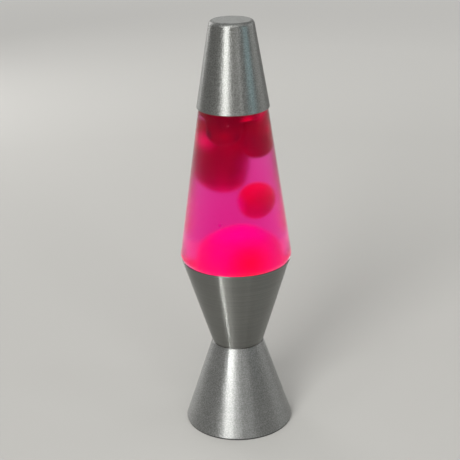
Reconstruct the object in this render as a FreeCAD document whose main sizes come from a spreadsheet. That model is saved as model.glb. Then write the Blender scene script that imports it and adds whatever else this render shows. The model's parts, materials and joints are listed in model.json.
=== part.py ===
import FreeCAD, Part
import math
import os
import re
import Sketcher
from FreeCAD import Placement, Rotation, Vector

# A table lamp of the liquid motion kind: a glass globe of liquid and wax that stands in the upper of two
# spun aluminium cones, with a spun cap over its closed neck and a bulb in the waist below it.
# Millimetres, +Z up, origin on the table under the middle of the foot.

os.makedirs("parts", exist_ok=True)
doc = FreeCAD.newDocument("MotionLamp")

sizes = {
    # Lower cone, which is the foot
    "footRadius": 48.3,         # outside of the lower cone at its bottom edge
    "footStand": 1.3,           # height of that edge above the table
    "footLip": 4.2,             # width of the hem that is turned in under the lower cone
    "lowerHeight": 76.9,        # bottom edge to flat top
    "waistRadius": 22.9,        # both cones where they meet, at the corners of their profiles
    "coneWall": 1.0,            # spun sheet, measured level
    "lowerShoulder": 1.2,       # rounding of the lower cone's top
    "edgeRound": 0.4,           # rounding of the sheet's free edges
    # Washer and upper cone
    "washerThick": 0.6,
    "washerRadius": 21.0,
    "upperHeight": 80.1,        # floor to rim of the upper cone
    "upperShoulder": 1.4,       # rounding at the foot of the upper cone
    "rimInset": 0.3,            # its rim inside the foot's edge, seen from above
    # Glass globe, measured from the rim that it sits on
    "seatGap": 0.2,             # between the rim and the glass ledge
    "ledgeSlope": 1.5,          # rise over run of the ledge that rests on the rim
    "globeOverhang": 1.0,       # widest part of the glass beyond the rim
    "globeFit": 1.2,            # ledge to the inside of the rim
    "globeInset": 27.1,         # how far the glass reaches down into the upper cone
    "globeTall": 165.0,         # rim to shoulder
    "shoulderRadius": 25.2,
    "shoulderRise": 9.0,
    "glassWall": 2.8,
    "glassFloor": 4.0,
    "puntInset": 12.1,          # start of the dished floor, in from the heel
    "puntRise": 5.0,
    "puntRound": 8.0,
    "heelRound": 6.0,
    "wideRound": 6.0,
    "ledgeRound": 1.5,
    "shoulderRound": 7.0,
    "neckRound": 4.0,
    "neckRadius": 12.7,
    "neckLength": 4.0,
    "beadRadius": 14.1,
    "beadHeight": 3.0,
    "beadRound": 1.0,
    "undercutRadius": 12.4,
    "undercutHeight": 1.8,
    "lockRadius": 13.3,
    "lockHeight": 4.1,
    "lockRound": 0.9,
    "boreRadius": 8.0,
    "boreRound": 4.0,
    # Crown closure
    "linerThick": 0.7,
    "linerInset": 1.1,          # liner's edge to the inside of the crown
    "crownWall": 0.3,
    "crownHeight": 6.2,
    "crownSkirt": 4.2,          # the part of the height that is corrugated
    "crownGrip": 0.15,          # inner ridges of the corrugations to the lock ring
    "crownWave": 0.3,           # height of the corrugations at the open edge
    "crownWaveTop": 0.12,       # the same where they run out
    "crownRound": 1.4,
    "crownFlutes": 21,          # corrugations round the skirt
    "crownLap": 0.1,            # how far the dish of the top runs into the skirt
    # Cap
    "capHeight": 73.7,
    "capWall": 0.8,
    "capCorner": 4.0,
    "capHollow": 3.0,           # rounding inside that corner
    "capLipGap": 0.74,          # glass to cap at the cap's lower edge
    "capSeatGap": 0.16,         # the same where it comes to rest
    "capSeatDrop": 3.0,         # seat below the glass shoulder
    "capOverlap": 26.4,         # lower edge of the cap below that seat
    # Lampholder
    "skirtRadius": 13.0,
    "skirtFit": 0.3,            # skirt to the holes in the cones and the washer
    "skirtDrop": 22.0,          # floor of the upper cone to the holder's lower end
    "flangeRadius": 16.5,
    "flangeThick": 2.4,
    "collarRadius": 12.2,
    "collarRise": 4.6,
    "socketDepth": 13.8,        # floor of the upper cone to the tip of the bulb
    "socketFloor": 15.2,        # the same to the floor of the holder's bore
    "shellWall": 0.4,
    "shellFit": 0.1,            # screw shell to the bore
    "socketFit": 0.35,          # bulb's screw base to the screw shell
    "shellFlange": 3.2,         # width of the flange at the bottom of the screw shell
    "shellBelow": 1.0,          # screw shell's edge below the holder's mouth
    "nutRadius": 19.0,
    "nutThick": 5.0,
    "nutFit": 0.1,
    "nutNotch": 2.0,
    "nutNotches": 8,
    "contactThick": 0.4,
    "contactWidth": 4.0,
    "contactGap": 0.25,         # leaf to the bulb's tip
    "contactReach": 2.0,
    "contactToe": 1.2,
    "contactDrop": 0.5,
    "rivetRadius": 1.0,
    "rivetOffset": 2.8,
    "rivetHead": 1.5,
    "rivetHeadThick": 0.5,
    "terminalOffset": 7.6,
    "terminalRecess": 1.6,
    "terminalWidth": 6.0,
    "terminalThick": 0.8,
    "screwRadius": 1.5,
    "screwLength": 3.0,
    "screwHead": 2.6,
    "screwHeadThick": 1.8,
    "screwSlot": 0.7,
    # Bulb, measured from its tip
    "bulbLength": 58.7,
    "bulbRadius": 17.45,
    "bulbWall": 0.7,
    "bulbCrown": 16.6,          # rounding of the bulb's top
    "bulbCheek": 10.0,
    "bulbThroat": 6.0,
    "bulbNeck": 7.2,
    "bulbWaist": 22.5,          # tip to where the glass starts to widen
    "bulbWide": 34.5,           # tip to where it is full width
    "baseRadius": 8.3,
    "baseWall": 0.35,
    "baseFoot": 3.2,
    "baseTop": 20.4,
    "baseCurl": 1.4,            # width of the base shell's turned-in lower edge
    "baseRound": 1.0,
    "insulatorStep": 0.6,
    "tipRadius": 2.4,
    "tipThick": 1.4,
    "stemFoot": 9.0,
    "stemRadius": 3.4,
    "stemTaper": 1.2,
    "stemRise": 14.0,
    "leadRadius": 0.3,
    "leadSpread": 4.6,
    "filamentBow": 2.0,
    "filamentHeight": 42.0,
    "filamentRadius": 0.5,
    # Bottom cover
    "coverFit": 0.4,            # cover to the inside of the hem
    "coverThick": 1.8,
    "coverInset": 0.8,          # foot rim inside the metal's edge
    "coverRecess": 0.7,         # cover's floor above the table
    "coverRimWidth": 4.4,
    "hookCount": 4,
    "hookWidth": 9.0,
    "hookThick": 1.6,
    "hookReach": 0.9,
    "hookRise": 2.2,
    "hookPlay": 0.1,
    "slotCount": 8,
    "slotWidth": 3.0,
    "slotRadius": 27.0,
    "slotLength": 12.0,
    # Cord entry in the rear of the lower cone
    "entryHeight": 13.0,
    "entryBore": 3.6,
    "entryBody": 5.6,
    "entryFit": 0.15,
    "entryFlange": 7.4,
    "entryFlangeThick": 2.0,
    "entryDepth": 6.0,
    "entryBarb": 0.7,
    "entryBarbDrop": 2.4,
    "entryRound": 0.8,
    # Liquid and wax, heights measured as on the globe
    "liquidDrop": 13.0,         # level below the glass shoulder
    "poolLevel": -12.0,
    "domeHeight": 1.5,
    "poolShift": 2.5,
    "domeRadius": 27.0,
    "domeBase": 29.0,
    "domeBaseHeight": -10.0,
    "topMassCover": 3.0,        # liquid over the mass of wax at the top
    "topMassTall": 22.0,
    "topMassGap": 0.8,          # each drop's gap is its distance from the inside of the glass
    "topMassRound": 7.0,
    "frontAngle": -123.7,       # each drop's angle is counted about the axis from +X
    "frontGap": 0.9,
    "frontRadius": 13.5,
    "frontLap": 5.0,            # the front drop's upper ball into the mass
    "frontTall": 13.6,
    "rightAngle": 2.0,
    "rightGap": 1.6,
    "rightRadius": 11.6,
    "rightBelow": 3.0,          # the right drop's upper ball below the mass
    "rightTall": 21.6,
    "leftAngle": 113.4,
    "leftGap": 1.1,
    "leftRadius": 13.6,
    "leftLow": 70.2,
    "leftBelow": 15.0,          # the left drop's upper ball below the mass
    "leftHighRadius": 12.6,
    "ballAngle": 0.0,
    "ballAside": 12.75,
    "ballRadius": 12.3,
    "ballLow": 48.4,
    "ballHigh": 58.2,
    "ballHighRadius": 11.0,
    "ballGap": 0.3,             # liquid to the ball that moves through it
    # Wire coil in the pool of wax
    "coilInset": 8.3,           # middle of its ring to the inside of the glass heel
    "coilCurl": 2.4,
    "coilWire": 0.5,            # radius of the wire
    "coilCurls": 24,
    "coilSpan": 340.0,
    "coilMarks": 4,             # places on each curl that the wire's arcs run through
    "coilRest": 0.05,           # coil above the glass floor
    "coilRoom": 0.5,            # wax to the outside of the coil
}

# What follows from those sizes, as formulas
derived = {
    "rimRadius": "footRadius - rimInset",
    "globeRadius": "rimRadius + globeOverhang",
    "footRun": "(footRadius - waistRadius) / lowerHeight",
    "coneRun": "(rimRadius - waistRadius) / upperHeight",
    "holeRadius": "skirtRadius + skirtFit",
    "waistTop": "footStand + lowerHeight",
    "upperFoot": "waistTop + washerThick",
    "holderSeat": "upperFoot + coneWall",
    "rimTop": "upperFoot + upperHeight",
    "globeSeat": "rimTop + seatGap",
    "bulbTip": "holderSeat - socketDepth",
    "rimMiddle": "rimRadius - coneWall / 2",
    "ledgeRadius": "rimRadius - coneWall - globeFit",
    "ledgeDrop": "(rimMiddle - ledgeRadius) * ledgeSlope",
    "wideHeight": "(globeRadius - rimMiddle) * ledgeSlope",
    "heelRadius": "ledgeRadius - (globeInset - ledgeDrop) * coneRun",
    "puntRadius": "heelRadius - puntInset",
    "globeRun": "(globeRadius - shoulderRadius) / (globeTall - wideHeight)",
    "innerTall": "globeTall - glassWall / 2",
    "innerRun": "(globeRadius - shoulderRadius) / (innerTall - wideHeight)",
    "neckFoot": "globeTall + shoulderRise",
    "beadFoot": "neckFoot + neckLength",
    "beadTop": "beadFoot + beadHeight",
    "lockFoot": "beadTop + undercutHeight",
    "finishTop": "lockFoot + lockHeight",
    "glassFloorHeight": "glassFloor - globeInset",
    "crownInside": "lockRadius + crownGrip",
    "capSeat": "globeTall - capSeatDrop",
    "capLip": "capSeat - capOverlap",
    "lipInside": "shoulderRadius + (globeTall - capLip) * globeRun + capLipGap",
    "seatInside": "shoulderRadius + (globeTall - capSeat) * globeRun + capSeatGap",
    "capRun": "(lipInside - seatInside) / capOverlap",
    "capTopRadius": "lipInside + capWall - capHeight * capRun",
    "capTop": "capLip + capHeight",
    "shellInside": "baseRadius + socketFit",
    "shellOutside": "shellInside + shellWall",
    "contactTop": "-socketDepth - contactGap",
    "plateFoot": "terminalRecess - terminalThick - skirtDrop",
    "coverEdge": "footRadius - footLip - coverFit",
    "coverTop": "coverRecess + coverThick",
    "coverRim": "footRadius - coverInset",
    "hookFoot": "footStand + coneWall + hookPlay",
    "entryPlace": "footRadius - entryHeight * footRun",
    "liquidLevel": "globeTall - liquidDrop",
    "topMassHead": "liquidLevel - topMassCover",
    "topMassFoot": "topMassHead - topMassTall",
    "frontHigh": "topMassFoot + frontLap",
    "frontLow": "frontHigh - frontTall",
    "rightHigh": "topMassFoot - rightBelow",
    "rightLow": "rightHigh - rightTall",
    "leftHigh": "topMassFoot - leftBelow",
    "coilRing": "heelRadius - glassWall - coilInset",
    "coilHeight": "glassFloorHeight + coilRest + coilWire + coilCurl",
}

sheet = doc.addObject("Spreadsheet::Sheet", "Sizes")
entries = list(sizes.items()) + [(alias, "=" + formula) for alias, formula in derived.items()]
for row, (alias, value) in enumerate(entries, start=1):
    sheet.set(f"A{row}", alias)
    sheet.set(f"B{row}", str(value))
    sheet.setAlias(f"B{row}", alias)
doc.recompute()


def size(alias):
    return float(getattr(sheet, alias))


def bound(text):
    """Writes each alias in a formula as the sheet knows it."""
    known = {**sizes, **derived}

    def asCell(word):
        return f"Sizes.{word[0]}" if word[0] in known else word[0]

    return re.sub(r"[A-Za-z]\w*", asCell, str(text))


def tie(thing, path, text):
    thing.setExpression(path, bound(text))


def tieConstraint(sketch, constraint, text):
    index = sketch.addConstraint(constraint)
    tie(sketch, f"Constraints[{index}]", text)


def newBody(label):
    body = doc.addObject("PartDesign::Body", label)
    body.Label = label
    return body


def originPlane(body, role):
    return next(item for item in body.Origin.OriginFeatures if item.Role == role)


def newSketch(body, name, role="XZ_Plane"):
    sketch = body.newObject("Sketcher::SketchObject", name)
    sketch.AttachmentSupport = (originPlane(body, role), [""])
    sketch.MapMode = "FlatFace"
    return sketch


def pinCorners(sketch, corners):
    """Places one construction point for each corner, at its formulas, and gives back where they came out."""
    indices = []
    for number, corner in enumerate(corners):
        guess = Vector(number + 1, number + 1, 0)
        index = sketch.addGeometry(Part.Point(guess), True)
        for kind, text, start in (("DistanceX", corner[0], guess.x), ("DistanceY", corner[1], guess.y)):
            if text == 0:
                axis = -2 if kind == "DistanceX" else -1
                sketch.addConstraint(Sketcher.Constraint("PointOnObject", index, 1, axis))
            else:
                tieConstraint(sketch, Sketcher.Constraint(kind, -1, 1, index, 1, start), text)
        indices.append(index)
    sketch.recompute()
    return indices, [sketch.getPoint(index, 1) for index in indices]


def roundCorner(before, corner, after, radius):
    """The arc that rounds a corner, its two ends, and which of them the arc starts from."""
    back = (before - corner).normalize()
    ahead = (after - corner).normalize()
    half = back.getAngle(ahead) / 2
    reach = radius / math.tan(half)
    first = corner + back * reach
    last = corner + ahead * reach
    centre = corner + (back + ahead).normalize() * (radius / math.sin(half))
    forward = (first - centre).cross(last - centre).z > 0
    start, end = (first, last) if forward else (last, first)
    startAngle = math.atan2(start.y - centre.y, start.x - centre.x)
    endAngle = math.atan2(end.y - centre.y, end.x - centre.x)
    circle = Part.Circle(centre, Vector(0, 0, 1), radius)
    return Part.ArcOfCircle(circle, startAngle, endAngle), first, last, forward


def drawOutline(sketch, corners):
    """Draws a closed outline through (x, y, rounding) corners, each entry a formula of the sheet's sizes."""
    corners = [tuple(corner) + (None,) * (3 - len(corner)) for corner in corners]
    pins, places = pinCorners(sketch, corners)
    count = len(corners)
    rounds = {}
    for number, corner in enumerate(corners):
        if corner[2]:
            before, after = places[number - 1], places[(number + 1) % count]
            arc, first, last, forward = roundCorner(before, places[number], after, size(corner[2]))
            rounds[number] = (sketch.addGeometry(arc), first, last, forward)
    lines = []
    for number in range(count):
        following = (number + 1) % count
        start = rounds[number][2] if number in rounds else places[number]
        end = rounds[following][1] if following in rounds else places[following]
        lines.append(sketch.addGeometry(Part.LineSegment(start, end)))
    for number in range(count):
        arriving, leaving = lines[number - 1], lines[number]
        if number not in rounds:
            sketch.addConstraint(Sketcher.Constraint("Coincident", arriving, 2, pins[number], 1))
            sketch.addConstraint(Sketcher.Constraint("Coincident", leaving, 1, pins[number], 1))
            continue
        arc, _, _, forward = rounds[number]
        firstEnd, lastEnd = (1, 2) if forward else (2, 1)
        sketch.addConstraint(Sketcher.Constraint("Tangent", arriving, 2, arc, firstEnd))
        sketch.addConstraint(Sketcher.Constraint("Tangent", leaving, 1, arc, lastEnd))
        sketch.addConstraint(Sketcher.Constraint("PointOnObject", pins[number], 1, arriving))
        sketch.addConstraint(Sketcher.Constraint("PointOnObject", pins[number], 1, leaving))
        rounding = corners[number][2]
        tieConstraint(sketch, Sketcher.Constraint("Radius", arc, size(rounding)), rounding)


def turn(body, sketch):
    """Turns an outline about the vertical axis of its sketch."""
    revolve = body.newObject("PartDesign::Revolution", "Revolution")
    revolve.Profile = sketch
    revolve.ReferenceAxis = (sketch, ["V_Axis"])
    revolve.Angle = 360
    doc.recompute()
    return revolve


def turnedBody(label, corners, height=None, side=None):
    """A body turned from one outline of (radius, height, rounding) corners and set at its place."""
    body = newBody(label)
    sketch = newSketch(body, label + "Outline")
    drawOutline(sketch, corners)
    turn(body, sketch)
    placeAt(body, height, side)
    return body


def placeAt(thing, height=None, side=None):
    if height:
        tie(thing, "Placement.Base.z", height)
    if side:
        tie(thing, "Placement.Base.x", side[0])
        tie(thing, "Placement.Base.y", side[1])
    doc.recompute()


def drawCircle(sketch, x, y, radius):
    circle = sketch.addGeometry(Part.Circle(Vector(1, 1, 0), Vector(0, 0, 1), 1))
    for kind, text in (("DistanceX", x), ("DistanceY", y)):
        if text == 0:
            axis = -2 if kind == "DistanceX" else -1
            sketch.addConstraint(Sketcher.Constraint("PointOnObject", circle, 3, axis))
        else:
            tieConstraint(sketch, Sketcher.Constraint(kind, -1, 1, circle, 3, 1), text)
    tieConstraint(sketch, Sketcher.Constraint("Radius", circle, 1), radius)


def extrude(body, sketch, length, feature="PartDesign::Pad", reverse=False, middle=False):
    """Pads or pockets a sketch by a formula of the sheet's sizes."""
    step = body.newObject(feature, feature.split("::")[1])
    step.Profile = sketch
    step.Reversed = reverse
    step.Midplane = middle
    tie(step, "Length", length)
    doc.recompute()
    return step


def polar(body, step, count):
    """Repeats a step about the body's vertical axis."""
    pattern = body.newObject("PartDesign::PolarPattern", "PolarPattern")
    pattern.Originals = [step]
    pattern.Axis = (next(item for item in body.Origin.OriginFeatures if item.Role == "Z_Axis"), [""])
    pattern.Angle = 360
    tie(pattern, "Occurrences", count)
    body.Tip = pattern
    doc.recompute()
    return pattern


def raised(sketch, height):
    """Lifts a sketch off its origin plane by a formula of the sheet's sizes."""
    tie(sketch, "AttachmentOffset.Base.z", height)
    doc.recompute()



# Lower cone
lowerCone = turnedBody("lower_cone", [
    ("holeRadius", "lowerHeight"),
    ("waistRadius", "lowerHeight", "lowerShoulder"),
    ("footRadius", 0, "edgeRound"),
    ("footRadius - footLip", 0),
    ("footRadius - footLip", "coneWall"),
    ("footRadius - coneWall - coneWall * footRun", "coneWall"),
    ("waistRadius - coneWall + coneWall * footRun", "lowerHeight - coneWall"),
    ("holeRadius", "lowerHeight - coneWall"),
], "footStand")

# Upper cone
upperCone = turnedBody("upper_cone", [
    ("holeRadius", 0),
    ("waistRadius", 0, "upperShoulder"),
    ("rimRadius", "upperHeight", "edgeRound"),
    ("rimRadius - coneWall", "upperHeight", "edgeRound"),
    ("waistRadius - coneWall + coneWall * coneRun", "coneWall", "lowerShoulder"),
    ("holeRadius", "coneWall"),
], "upperFoot")

# Fibre washer between the cones
waistWasher = turnedBody("waist_washer", [
    ("holeRadius", 0),
    ("washerRadius", 0),
    ("washerRadius", "washerThick"),
    ("holeRadius", "washerThick"),
], "waistTop")


# Glass globe
glassOutside = [
    (0, "puntRise - globeInset"),
    ("puntRadius", "-globeInset", "puntRound"),
    ("heelRadius", "-globeInset", "heelRound"),
    ("ledgeRadius", "-ledgeDrop", "ledgeRound"),
    ("globeRadius", "wideHeight", "wideRound"),
    ("shoulderRadius", "globeTall", "shoulderRound"),
    ("neckRadius", "neckFoot", "neckRound"),
    ("neckRadius", "beadFoot"),
    ("beadRadius", "beadFoot", "beadRound"),
    ("beadRadius", "beadTop", "beadRound"),
    ("undercutRadius", "beadTop"),
    ("undercutRadius", "lockFoot"),
    ("lockRadius", "lockFoot"),
    ("lockRadius", "finishTop", "lockRound"),
]
glassMouth = [
    ("boreRadius", "finishTop"),
    ("boreRadius", "neckFoot - glassWall / 2", "boreRound"),
    ("shoulderRadius - glassWall", "innerTall", "heelRound"),
]
glassInside = [
    ("globeRadius - glassWall", "wideHeight", "wideRound"),
    ("ledgeRadius - glassWall", "-ledgeDrop", "ledgeRound"),
    ("heelRadius - glassWall", "glassFloorHeight", "heelRound"),
    ("puntRadius", "glassFloorHeight", "puntRound"),
    (0, "puntRise + glassFloorHeight"),
]
glassGlobe = turnedBody("glass_globe", glassOutside + glassMouth + glassInside, "globeSeat")

# Liner and crown closure on the neck
crownLiner = turnedBody("crown_liner", [
    (0, "finishTop"),
    ("crownInside - linerInset", "finishTop"),
    ("crownInside - linerInset", "finishTop + linerThick"),
    (0, "finishTop + linerThick"),
], "globeSeat")


def waveWire(middle, wave, height):
    """A closed wire of arcs that swings evenly in and out of a circle, once for each corrugation."""
    count = int(size("crownFlutes"))
    step = math.pi / count
    edges = []
    for number in range(2 * count):
        swing = wave if number % 2 == 0 else -wave
        angles = [step * (number + share) for share in (0, 0.5, 1)]
        reaches = [middle, middle + swing, middle]
        points = [Vector(reach * math.cos(angle), reach * math.sin(angle), height)
                  for reach, angle in zip(reaches, angles)]
        edges.append(Part.Arc(*points).toShape())
    return Part.Wire(edges)


def corrugatedSkirt(offset):
    """The skirt's solid, from where the corrugations run out to the open edge, grown by an offset."""
    top, low = size("crownSkirt"), 0.0
    middleLow = size("crownInside") + size("crownWave")
    middleTop = size("crownInside") + size("crownWaveTop")
    wires = [waveWire(middleLow + offset, size("crownWave"), low),
             waveWire(middleTop + offset, size("crownWaveTop"), top)]
    return Part.makeLoft(wires, True, True)


# The crown's top is a shallow dish over the liner, its skirt a ruled shell of corrugations
skirtOut = corrugatedSkirt(size("crownWall"))
skirtIn = corrugatedSkirt(0.0)
dishRadius = size("crownInside") + size("crownWaveTop") + size("crownWall")
dishFoot = Vector(0, 0, size("crownSkirt") - size("crownLap"))


def roundedDisc(radius, top, rounding):
    """A disc from the dish's foot up to a level, rounded round its top edge."""
    disc = Part.makeCylinder(radius, top - dishFoot.z, dishFoot)
    rim = [edge for edge in disc.Edges if abs(edge.CenterOfMass.z - top) < size("crownLap") / 2]
    return disc.makeFillet(rounding, rim)


dish = roundedDisc(dishRadius, size("crownHeight"), size("crownRound"))
dishRoom = roundedDisc(size("crownInside"), size("crownHeight") - size("crownWall"),
                       size("crownRound") - size("crownWall"))
crownCap = doc.addObject("Part::Feature", "crown_cap")
crownCap.Label = "crown_cap"
crownCap.Shape = skirtOut.fuse(dish).cut(skirtIn.fuse(dishRoom))
placeAt(crownCap, "globeSeat + finishTop + linerThick + crownWall - crownHeight")

# Cap
topCap = turnedBody("top_cap", [
    ("lipInside", "capLip"),
    ("lipInside + capWall", "capLip", "edgeRound"),
    ("capTopRadius", "capTop", "capCorner"),
    (0, "capTop"),
    (0, "capTop - capWall"),
    ("capTopRadius - capWall + capWall * capRun", "capTop - capWall", "capHollow"),
], "globeSeat")


# Lampholder, measured from the floor of the upper cone that its flange clamps
lampholder = turnedBody("lampholder_body", [
    (0, "-skirtDrop"),
    ("skirtRadius", "-skirtDrop", "edgeRound"),
    ("skirtRadius", 0),
    ("flangeRadius", 0),
    ("flangeRadius", "flangeThick", "edgeRound"),
    ("collarRadius", "flangeThick"),
    ("collarRadius", "collarRise", "edgeRound"),
    ("shellOutside + shellFit", "collarRise"),
    ("shellOutside + shellFit", "-socketFloor"),
    (0, "-socketFloor"),
], "holderSeat")


def drawBox(sketch, left, right, front, back):
    drawOutline(sketch, [(left, front), (right, front), (right, back), (left, back)])


def cutFromBelow(body, name, draw, start, depth, count=None):
    """Pockets a shape upwards from a level, and repeats it about the axis if there is a count."""
    before = body.Shape.Volume
    sketch = newSketch(body, name, "XY_Plane")
    draw(sketch)
    raised(sketch, start)
    pocket = extrude(body, sketch, depth, "PartDesign::Pocket", reverse=True)
    if count:
        polar(body, pocket, count)
    if body.Shape.Volume > before - 0.1:
        raise RuntimeError(name + " cuts nothing")


def drawTerminalRecess(sketch):
    half = "terminalWidth / 2 + skirtFit"
    drawBox(sketch, f"terminalOffset - ({half})", f"terminalOffset + {half}", f"-({half})", half)


def drawRivetHole(sketch):
    drawCircle(sketch, "-rivetOffset", 0, "rivetRadius")


def drawTerminalHole(sketch):
    drawCircle(sketch, "terminalOffset", 0, "screwRadius")


cutFromBelow(lampholder, "rivetHole", drawRivetHole, "-skirtDrop", "skirtDrop - socketFloor")
cutFromBelow(lampholder, "terminalRecess", drawTerminalRecess, "-skirtDrop", "terminalRecess", "2")
cutFromBelow(lampholder, "terminalHole", drawTerminalHole, "-skirtDrop", "terminalRecess + screwLength", "2")

# Ring nut that draws both cones together on the holder's skirt
ringNut = turnedBody("lampholder_ring_nut", [
    ("skirtRadius + nutFit", "-nutThick"),
    ("nutRadius", "-nutThick", "edgeRound"),
    ("nutRadius", 0, "edgeRound"),
    ("skirtRadius + nutFit", 0),
], "waistTop - coneWall")
cutFromBelow(ringNut, "nutNotch", lambda sketch: drawCircle(sketch, "nutRadius", 0, "nutNotch"),
             "-nutThick", "nutThick", "nutNotches")

# Screw shell, centre contact and its rivet
screwShell = turnedBody("screw_shell", [
    ("shellInside - shellFlange", "-socketFloor"),
    ("shellOutside", "-socketFloor"),
    ("shellOutside", "collarRise - shellBelow"),
    ("shellInside", "collarRise - shellBelow"),
    ("shellInside", "shellWall - socketFloor"),
    ("shellInside - shellFlange", "shellWall - socketFloor"),
], "holderSeat")

centreContact = newBody("centre_contact")
contactSketch = newSketch(centreContact, "contactSide")
drawOutline(contactSketch, [
    ("-rivetOffset - rivetHead", "-socketFloor"),
    ("rivetHead - rivetOffset", "-socketFloor"),
    (0, "contactTop - contactThick"),
    ("contactReach", "contactTop - contactThick"),
    ("contactReach + contactToe", "contactTop - contactThick - contactDrop"),
    ("contactReach + contactToe", "contactTop - contactDrop"),
    ("contactReach", "contactTop"),
    (0, "contactTop"),
    ("rivetHead - rivetOffset", "contactThick - socketFloor"),
    ("-rivetOffset - rivetHead", "contactThick - socketFloor"),
])
extrude(centreContact, contactSketch, "contactWidth", middle=True)
cutFromBelow(centreContact, "contactHole", drawRivetHole, "-socketFloor", "contactThick")
placeAt(centreContact, "holderSeat")

contactRivet = turnedBody("contact_rivet", [
    (0, "-skirtDrop - rivetHeadThick"),
    ("rivetHead", "-skirtDrop - rivetHeadThick"),
    ("rivetHead", "-skirtDrop"),
    ("rivetRadius", "-skirtDrop"),
    ("rivetRadius", "contactThick - socketFloor"),
    ("rivetHead", "contactThick - socketFloor"),
    ("rivetHead", "contactThick + rivetHeadThick - socketFloor"),
    (0, "contactThick + rivetHeadThick - socketFloor"),
], "holderSeat", ("-rivetOffset", "0"))

# Two terminal plates and their screws under the holder
terminalPlates = newBody("terminal_plates")
plateSketch = newSketch(terminalPlates, "plateOutline", "XY_Plane")
drawBox(plateSketch, "terminalOffset - terminalWidth / 2", "terminalOffset + terminalWidth / 2",
        "-terminalWidth / 2", "terminalWidth / 2")
raised(plateSketch, "plateFoot")
platePad = extrude(terminalPlates, plateSketch, "terminalThick")
polar(terminalPlates, platePad, "2")
cutFromBelow(terminalPlates, "plateHole", drawTerminalHole, "plateFoot", "terminalThick", "2")
placeAt(terminalPlates, "holderSeat")

terminalScrews = newBody("terminal_screws")
headSketch = newSketch(terminalScrews, "screwHeadOutline", "XY_Plane")
drawCircle(headSketch, "terminalOffset", 0, "screwHead")
raised(headSketch, "plateFoot - screwHeadThick")
headPad = extrude(terminalScrews, headSketch, "screwHeadThick")
shankSketch = newSketch(terminalScrews, "screwShankOutline", "XY_Plane")
drawCircle(shankSketch, "terminalOffset", 0, "screwRadius")
raised(shankSketch, "plateFoot")
shankPad = extrude(terminalScrews, shankSketch, "terminalThick + screwLength")
slotSketch = newSketch(terminalScrews, "screwSlotOutline", "XY_Plane")
drawBox(slotSketch, "terminalOffset - screwHead - skirtFit", "terminalOffset + screwHead + skirtFit",
        "-screwSlot / 2", "screwSlot / 2")
raised(slotSketch, "plateFoot - screwHeadThick")
slotPocket = extrude(terminalScrews, slotSketch, "screwHeadThick / 2", "PartDesign::Pocket", reverse=True)
screwPattern = polar(terminalScrews, headPad, "2")
screwPattern.Originals = [headPad, shankPad, slotPocket]
placeAt(terminalScrews, "holderSeat")


# Bulb, measured from its tip
bulbParts = [
    turnedBody("bulb_tip_contact", [
        (0, 0),
        ("tipRadius", 0, "edgeRound"),
        ("tipRadius", "tipThick"),
        (0, "tipThick"),
    ], "bulbTip"),
    turnedBody("bulb_insulator", [
        (0, "tipThick"),
        ("tipRadius + insulatorStep", "tipThick"),
        ("baseRadius - baseCurl", "baseFoot"),
        ("baseRadius - baseCurl", "baseFoot + insulatorStep"),
        (0, "baseFoot + insulatorStep"),
    ], "bulbTip"),
    turnedBody("bulb_screw_base", [
        ("baseRadius - baseCurl", "baseFoot"),
        ("baseRadius", "baseFoot", "baseRound"),
        ("baseRadius", "baseTop"),
        ("baseRadius - baseWall", "baseTop"),
        ("baseRadius - baseWall", "baseFoot + baseWall", "edgeRound"),
        ("baseRadius - baseCurl", "baseFoot + baseWall"),
    ], "bulbTip"),
    turnedBody("bulb_envelope", [
        ("bulbNeck - bulbWall", "stemFoot"),
        ("bulbNeck", "stemFoot"),
        ("bulbNeck", "bulbWaist", "bulbThroat"),
        ("bulbRadius", "bulbWide", "bulbCheek"),
        ("bulbRadius", "bulbLength", "bulbCrown"),
        (0, "bulbLength"),
        (0, "bulbLength - bulbWall"),
        ("bulbRadius - bulbWall", "bulbLength - bulbWall", "bulbCrown"),
        ("bulbRadius - bulbWall", "bulbWide", "bulbCheek"),
        ("bulbNeck - bulbWall", "bulbWaist", "bulbThroat"),
    ], "bulbTip"),
    turnedBody("bulb_stem", [
        (0, "stemFoot - bulbWall"),
        ("bulbNeck", "stemFoot - bulbWall"),
        ("bulbNeck", "stemFoot"),
        ("bulbNeck - bulbWall", "stemFoot"),
        ("stemRadius", "stemFoot + bulbWall"),
        ("stemRadius - stemTaper", "stemFoot + stemRise"),
        (0, "stemFoot + stemRise"),
    ], "bulbTip"),
]


def leadWire(side):
    """One lead, straight from the top of the stem to its end of the filament."""
    stemTip = size("stemRadius") - size("stemTaper")
    start = Vector(side * stemTip / 2, 0, size("stemFoot") + size("stemRise"))
    end = Vector(side * size("leadSpread"), 0, size("filamentHeight"))
    return Part.makeCylinder(size("leadRadius"), (end - start).Length, start, end - start)


leadWires = doc.addObject("Part::Feature", "bulb_lead_wires")
leadWires.Label = "bulb_lead_wires"
leadWires.Shape = Part.makeCompound([leadWire(-1), leadWire(1)])
placeAt(leadWires, "bulbTip")

filamentEnds = [Vector(side * size("leadSpread"), 0, size("filamentHeight") + size("filamentRadius"))
                for side in (-1, 1)]
filamentMiddle = (filamentEnds[0] + filamentEnds[1]) / 2 + Vector(0, 0, size("filamentBow"))
filamentPath = Part.Wire([Part.Arc(filamentEnds[0], filamentMiddle, filamentEnds[1]).toShape()])
filamentStart = filamentPath.Edges[0].tangentAt(filamentPath.Edges[0].FirstParameter)
filamentRing = Part.Wire([Part.makeCircle(size("filamentRadius"), filamentEnds[0], filamentStart)])
bulbFilament = doc.addObject("Part::Feature", "bulb_filament")
bulbFilament.Label = "bulb_filament"
bulbFilament.Shape = filamentPath.makePipeShell([filamentRing], True, False)
placeAt(bulbFilament, "bulbTip")
bulbParts += [leadWires, bulbFilament]


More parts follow.
